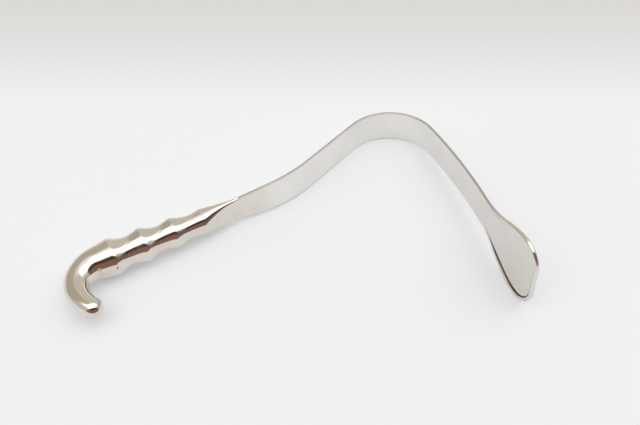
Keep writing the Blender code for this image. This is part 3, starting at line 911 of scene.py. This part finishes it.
    def wall(self, name: str, skin: Mesh, low: float, high: float,
             finish: Material) -> Mesh:
        """One sheet-metal piece of the handle: the skin between two heights with its thickness.

        Args:
            name: Name of the new mesh.
            skin: The whole outer skin.
            low: Lowest height that is kept.
            high: Highest height that is kept.
            finish: The material.

        Returns:
            A closed mesh whose outer normals are the whole skin's, so that no line shows between the pieces.
        """
        work = bmesh.new()
        work.from_mesh(skin)
        outer = work.verts.layers.float_vector.new("outer")
        radial = work.verts.layers.float_vector["radial"]
        hook = work.verts.layers.float["hook"]
        for vert in work.verts:
            vert[outer] = vert.normal
        for height, below in ((low, True), (high, False)):
            bmesh.ops.bisect_plane(
                work, geom=[*work.verts, *work.edges, *work.faces], plane_co=(0.0, 0.0, height),
                plane_no=(0.0, 0.0, 1.0), clear_inner=below, clear_outer=not below)
        inward = {}
        for vert in list(work.verts):
            way = mix(Vector(vert[radial]), Vector(vert[outer]), vert[hook]).normalized()
            inner = work.verts.new(vert.co - way * self.sheet)
            inner[outer] = -Vector(vert[outer])
            inward[vert] = inner
        borders = [edge for edge in work.edges if len(edge.link_faces) == 1]
        uv = work.loops.layers.uv[UV_NAME]
        flat = work.faces.layers.int.new("flat")
        for face in list(work.faces):
            copy = work.faces.new([inward[vert] for vert in reversed(face.verts)])
            for corner, source in zip(copy.loops, reversed(list(face.loops))):
                corner[uv].uv = source[uv].uv
        for edge in borders:
            corner = next(c for c in edge.link_loops)
            a, b = corner.vert, corner.link_loop_next.vert
            side = work.faces.new((b, a, inward[a], inward[b]))
            side[flat] = 1
            for rim_corner in side.loops:
                rim_corner[uv].uv = corner[uv].uv
        mesh = bpy.data.meshes.new(name)
        work.to_mesh(mesh)
        work.free()
        normals = []
        ways = mesh.attributes["outer"].data
        flats = mesh.attributes["flat"].data
        for face in mesh.polygons:
            for corner in face.loop_indices:
                way = ways[mesh.loops[corner].vertex_index].vector
                normals.append(face.normal.copy() if flats[face.index].value else Vector(way).normalized())
        mesh.shade_smooth()
        mesh.normals_split_custom_set(normals)
        for extra in ("outer", "flat", "radial", "hook"):
            mesh.attributes.remove(mesh.attributes[extra])
        mesh.materials.clear()
        mesh.materials.append(finish)
        return mesh

    def mouth_weld(self, finish: Material) -> Mesh:
        """Closed run-out of the handle's mouth on to the strap."""
        mesh = self.sweep("mouth_weld_skin", self.weld_spine(), self.grip.weld_length, finish)
        work = bmesh.new()
        work.from_mesh(mesh)
        bmesh.ops.holes_fill(work, edges=[edge for edge in work.edges if edge.is_boundary])
        work.to_mesh(mesh)
        work.free()
        face_outwards(mesh)
        mesh.shade_smooth()
        mesh.set_sharp_from_angle(angle=math.radians(self.weld_crease))
        return mesh

    def vent_plug(self, finish: Material) -> Mesh:
        """Slightly domed plug in the vent beside the seam on ridge 1, with a fine ring round it."""
        crest = self.grip.half_thicknesses[0]
        tilt = math.asin(self.vent_height / crest)
        out = Vector((0.0, -math.cos(tilt), math.sin(tilt)))
        turn = out.to_track_quat("Z", "X").to_matrix().to_4x4()
        sides, radius = self.vent_sides, self.vent_radius
        angles = np.linspace(0.0, 2 * math.pi, sides, endpoint=False)
        points = [(radius * share * math.cos(angle), radius * share * math.sin(angle), height)
                  for share, height in self.vent_profile for angle in angles]
        rings = [list(range(first, first + sides)) for first in range(0, len(points), sides)]
        faces: list[tuple[int, ...]] = []
        for ring, following in zip(rings, rings[1:]):
            faces += band(ring, following)
        faces += [(k, (k + 1) % sides, len(points)) for k in range(sides)]
        faces.append(tuple(rings[-1]))
        mesh = bpy.data.meshes.new("vent_plug")
        mesh.from_pydata([*points, (0.0, 0.0, self.vent_dome)], [], faces)
        mesh.transform(Matrix.Translation(out * crest) @ turn)
        face_outwards(mesh)
        map_flat(mesh, 2)
        mesh.shade_smooth()
        mesh.materials.append(finish)
        return mesh

    def build(self) -> dict[str, Mesh]:
        """Every piece of the handle, in the mid-plane, by name."""
        steel = self.finish.material()
        weld = self.weld_finish.material()
        skin = self.sweep("handle_skin", self.spine(), self.path().length, steel)
        face_like(skin)
        seam = self.seam_width / 2
        beyond = 2 * max(self.grip.half_heights)
        return {
            "upper_shell": self.wall("upper_shell", skin, seam, beyond, steel),
            "lower_shell": self.wall("lower_shell", skin, -beyond, -seam, steel),
            "shell_seam": self.wall("shell_seam", skin, -seam, seam, weld),
            "mouth_runout": self.mouth_weld(steel),
            "vent_stopper": self.vent_plug(self.plug_finish.material()),
        }


def spine_mesh(name: str, rows: list[tuple[Any, ...]]) -> Mesh:
    """Loose points that carry the sizes of a section each.

    Args:
        name: Name of the mesh.
        rows: Centre, side direction, half thickness, half height, scallop depth, phase and hook share.

    Returns:
        The points with their attributes.
    """
    mesh = bpy.data.meshes.new(name)
    mesh.from_pydata([tuple(row[0]) for row in rows], [], [])
    for column, label in enumerate(("centre", "side")):
        layer = mesh.attributes.new(label, "FLOAT_VECTOR", "POINT")
        layer.data.foreach_set("vector", np.concatenate([row[column] for row in rows]))
    for column, label in enumerate(("thickness", "height", "scallop", "phase", "hook"), start=2):
        layer = mesh.attributes.new(label, "FLOAT", "POINT")
        layer.data.foreach_set("value", np.array([row[column] for row in rows]))
    return mesh


def face_like(skin: Mesh) -> None:
    """Turn an open skin so that its faces point away from its spine."""
    work = bmesh.new()
    work.from_mesh(skin)
    radial = work.verts.layers.float_vector["radial"]
    agree = sum(vert.normal.dot(vert[radial]) for vert in work.verts)
    if agree < 0:
        bmesh.ops.reverse_faces(work, faces=work.faces)
    work.to_mesh(skin)
    work.free()


@dataclass
class Rest:
    """Place of the instrument's mid-plane on the table, read from the record's flat face of the shank."""

    grip: Grip
    strap: Strap
    mount_reach: float = 0.010

    def matrix(self) -> Matrix:
        """Turn and shift from the mid-plane to the row frame."""
        mounts = {mount["name"]: mount for mount in frame["record"]["mounts"]}
        outer = mounts["shank_outer_face"]
        across = Vector(outer["axis"]).normalized()
        ahead = Vector((-across.z, 0.0, across.x)).normalized()
        ahead *= math.copysign(1.0, ahead.x)
        up = ahead.cross(across)
        turn = Matrix((ahead, across, up)).transposed()
        local = Vector((
            self.grip.shoulder + self.mount_reach, self.strap.thickness / 2 - self.grip.offset, 0.0))
        return Matrix.Translation(Vector(outer["pos_m"]) - turn @ local) @ turn.to_4x4()


# ---------------------------------------------------------------- the studio

@dataclass(frozen=True)
class Patch:
    """A part of the room: its colour, and its limits in turn from the viewer's side and in height.

    A part of the front wall has its heights as they are straight ahead, and its edges run level along it.
    """

    name: str
    colour: tuple[float, float, float]
    turn: tuple[float, float]
    height: tuple[float, float]
    soft: float = 8.0
    on_front_wall: bool = False
    lowest: float = -90.0


FRONT_TURN = 20.0
WALL_COLOUR = (0.57, 0.54, 0.48, 1.0)
ROOM = (
    Patch("left_wall", (0.46, 0.42, 0.34), (-150.0, -85.0), (-20.0, 55.0), 12.0),
    Patch("back_wall", (0.60, 0.57, 0.50), (145.0, 215.0), (-20.0, 60.0), 14.0),
    Patch("right_wall", (0.29, 0.25, 0.22), (100.0, 140.0), (-20.0, 10.0), 10.0),
    Patch("ceiling", (2.30, 2.30, 2.28), (-110.0, 160.0), (61.0, 106.0), on_front_wall=True, lowest=38.0),
    Patch("ceiling_behind", (0.90, 0.88, 0.84), (160.0, 265.0), (62.0, 120.0), 12.0),
    Patch("left_window", (1.40, 1.40, 1.38), (-85.0, -50.0), (38.0, 72.0), 6.0),
    Patch("right_window", (1.35, 1.35, 1.33), (85.0, 130.0), (38.0, 72.0), 6.0),
    Patch("left_recess", (0.17, 0.16, 0.15), (-50.0, -14.0), (4.0, 57.0), on_front_wall=True),
    Patch("doorway", (0.25, 0.12, 0.08), (-18.0, 45.0), (-8.0, 57.0), on_front_wall=True),
    Patch("doorway_side", (0.17, 0.12, 0.09), (45.0, 82.0), (-8.0, 57.0), on_front_wall=True),
    Patch("lintel", (0.05, 0.04, 0.035), (-18.0, 70.0), (36.0, 57.0), 6.0, on_front_wall=True),
)


class Room:
    """Lays patches of colour over the directions that light comes from."""

    def __init__(self, sheet: Sheet, azimuth: float) -> None:
        """Find the turn and height of each direction.

        Args:
            sheet: The world's node tree.
            azimuth: Direction of the viewer's side, in degrees.
        """
        self.sheet = sheet
        place = sheet.add("ShaderNodeTexCoord").outputs["Generated"]
        turned = sheet.add("ShaderNodeVectorRotate", {"Vector": place, "Angle": math.radians(-azimuth)},
                           rotation_type="Z_AXIS").outputs[0]
        axes = sheet.split(turned)
        self.turn = sheet.math(
            "DEGREES", sheet.math("ARCTAN2", axes["X"], sheet.math("MULTIPLY", axes["Y"], -1.0)))
        self.height = sheet.math("DEGREES", sheet.math("ARCSINE", axes["Z"]))
        ahead = sheet.dot(turned, self.front_way())
        self.wall_height = sheet.math("DEGREES", sheet.math("ARCTAN2", axes["Z"], ahead))
        self.base = sheet.add("ShaderNodeRGB").outputs[0]
        self.base.default_value = WALL_COLOUR

    @staticmethod
    def front_way() -> tuple[float, float, float]:
        """Direction of the front wall's nearest point, with the viewer's side at -Y."""
        turn = math.radians(FRONT_TURN)
        return math.sin(turn), -math.cos(turn), 0.0

    def lay(self, tone: NodeSocket, patch: Patch) -> NodeSocket:
        """Lay one patch over what is there."""
        middle = (patch.turn[0] + patch.turn[1]) / 2
        wide = (patch.turn[1] - patch.turn[0]) / 2
        off = self.sheet.math("WRAP", self.sheet.math("SUBTRACT", self.turn, middle), 180.0, -180.0)
        sideways = self.fall(self.sheet.math("ABSOLUTE", off), wide, patch.soft)
        height = self.wall_height if patch.on_front_wall else self.height
        rise = self.sheet.math("SUBTRACT", height, (patch.height[0] + patch.height[1]) / 2)
        upright = self.fall(
            self.sheet.math("ABSOLUTE", rise), (patch.height[1] - patch.height[0]) / 2, patch.soft)
        share = self.sheet.math("MULTIPLY", sideways, upright)
        if patch.lowest > -90.0:
            under = self.fall(self.sheet.math("MULTIPLY", self.height, -1.0), -patch.lowest, patch.soft)
            share = self.sheet.math("MULTIPLY", share, under)
        laid = self.sheet.blend(share, tone, (*patch.colour, 1.0))
        laid.node.label = patch.name
        return laid

    def fall(self, distance: NodeSocket, edge: float, soft: float) -> NodeSocket:
        """One inside an edge and nought outside it, with a soft step."""
        step = self.sheet.add(
            "ShaderNodeMapRange",
            {"Value": distance, "From Min": edge - soft / 2, "From Max": edge + soft / 2,
             "To Min": 1.0, "To Max": 0.0},
            interpolation_type="SMOOTHSTEP")
        return step.outputs[0]


@dataclass
class Studio:
    """Pale table, soft light and the camera."""

    target: tuple[float, float, float] = (0.0439, 0.0470, 0.0)
    azimuth: float = -27.63
    elevation: float = 50.21
    distance: float = 0.59534
    lens: float = 42.61
    sensor: float = 36.0
    table_size: float = 3.0
    backdrop: tuple[float, float, float, float] = (0.86, 0.87, 0.88, 1.0)
    world_strength: float = 1.13
    fade_start: float = 0.182
    fade_length: float = 0.25
    table_glow: float = 0.35
    # painted shade: the table grows darker and warmer further from the camera
    table_fade: tuple[tuple[float, tuple[float, float, float]], ...] = (
        (0.00, (0.860, 0.880, 0.911)),
        (0.16, (0.815, 0.833, 0.863)),
        (0.30, (0.761, 0.773, 0.795)),
        (0.45, (0.725, 0.727, 0.735)),
        (0.70, (0.688, 0.685, 0.680)),
        (1.00, (0.652, 0.645, 0.635)),
    )

    def build(self) -> None:
        """Make everything that isn't the instrument."""
        self.build_camera()
        self.build_table()
        self.build_world()
        bpy.context.scene.view_settings.view_transform = "Standard"

    def build_camera(self) -> None:
        """The camera at its viewing angle."""
        data = bpy.data.cameras.new("camera")
        data.lens = self.lens
        data.sensor_width = self.sensor
        data.clip_start = 0.01
        data.clip_end = 20.0
        camera = new_object("camera", data)
        azimuth, elevation = math.radians(self.azimuth), math.radians(self.elevation)
        level = math.cos(elevation)
        way = Vector((math.sin(azimuth) * level, -math.cos(azimuth) * level, math.sin(elevation)))
        camera.location = Vector(self.target) + way * self.distance
        camera.rotation_euler = way.to_track_quat("Z", "Y").to_euler()
        bpy.context.scene.camera = camera

    def build_table(self) -> None:
        """A wide pale table top under the instrument."""
        mesh = bpy.data.meshes.new("table")
        work = bmesh.new()
        bmesh.ops.create_grid(work, x_segments=2, y_segments=2, size=self.table_size / 2)
        work.to_mesh(mesh)
        work.free()
        table = new_object("table", mesh)
        material = bpy.data.materials.new("table_white")
        material.use_nodes = True
        shader = material.node_tree.nodes["Principled BSDF"]
        sheet = Sheet(material.node_tree)
        place = sheet.add("ShaderNodeTexCoord").outputs["Object"]
        turn = math.radians(self.azimuth)
        away = sheet.dot(place, (-math.sin(turn), math.cos(turn), 0.0))
        depth = sheet.math("MULTIPLY", sheet.math("SUBTRACT", away, self.fade_start), 1.0 / self.fade_length)
        # painted shade on the table, darker away from the camera
        tone = sheet.ramp(depth, self.table_fade, smooth=False)
        # painted light: the table glows a little, which lightens the shadows cast on it
        sheet.tree.links.new(sheet.stretch(tone, 1.0 - self.table_glow), shader.inputs["Base Color"])
        sheet.tree.links.new(tone, shader.inputs["Emission Color"])
        shader.inputs["Emission Strength"].default_value = self.table_glow
        shader.inputs["Roughness"].default_value = 0.75
        shader.inputs["Specular IOR Level"].default_value = 0.2
        mesh.materials.append(material)

    def build_world(self) -> None:
        """The room round the table: pale walls, a bright ceiling, two windows and a dark doorway."""
        world = bpy.data.worlds.new("studio")
        bpy.context.scene.world = world
        world.use_nodes = True
        sheet = Sheet(world.node_tree)
        back = world.node_tree.nodes["Background"]
        room = Room(sheet, self.azimuth)
        tone = room.base
        for patch in ROOM:
            tone = room.lay(tone, patch)
        lit = sheet.add("ShaderNodeLightPath").outputs["Is Camera Ray"]
        sheet.tree.links.new(sheet.blend(lit, tone, self.backdrop), back.inputs["Color"])
        back.inputs["Strength"].default_value = self.world_strength


class Slot(Enum):
    """Material slots of the record."""

    BLADE = "blade_steel"
    HANDLE = "handle_steel"
    WELD = "weld_steel"


REPLACED = {
    "retractor_blade": ("blade",),
    "upper_shell": ("upper_handle_shell",),
    "lower_shell": ("lower_handle_shell",),
    "shell_seam": ("seam_weld",),
    "mouth_runout": ("mouth_weld",),
    "vent_stopper": ("vent_plug",),
}


def main() -> None:
    """Build the instrument and the studio, and report each piece."""
    logging.basicConfig(level=logging.INFO, format="%(name)s: %(message)s")
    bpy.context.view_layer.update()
    grip = Grip()
    strap = Strap(grip)
    handle = Handle(grip, strap)
    rest = Rest(grip, strap).matrix()
    pieces = {"retractor_blade": strap.build(), **handle.build()}
    for name, mesh in pieces.items():
        mesh.transform(rest)
        piece = new_object(name, mesh)
        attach(piece, BODY)
        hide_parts(*REPLACED[name])
        LOG.info("%s: %d faces", name, len(mesh.polygons))
    Studio().build()


if __name__ == "__main__":
    main()
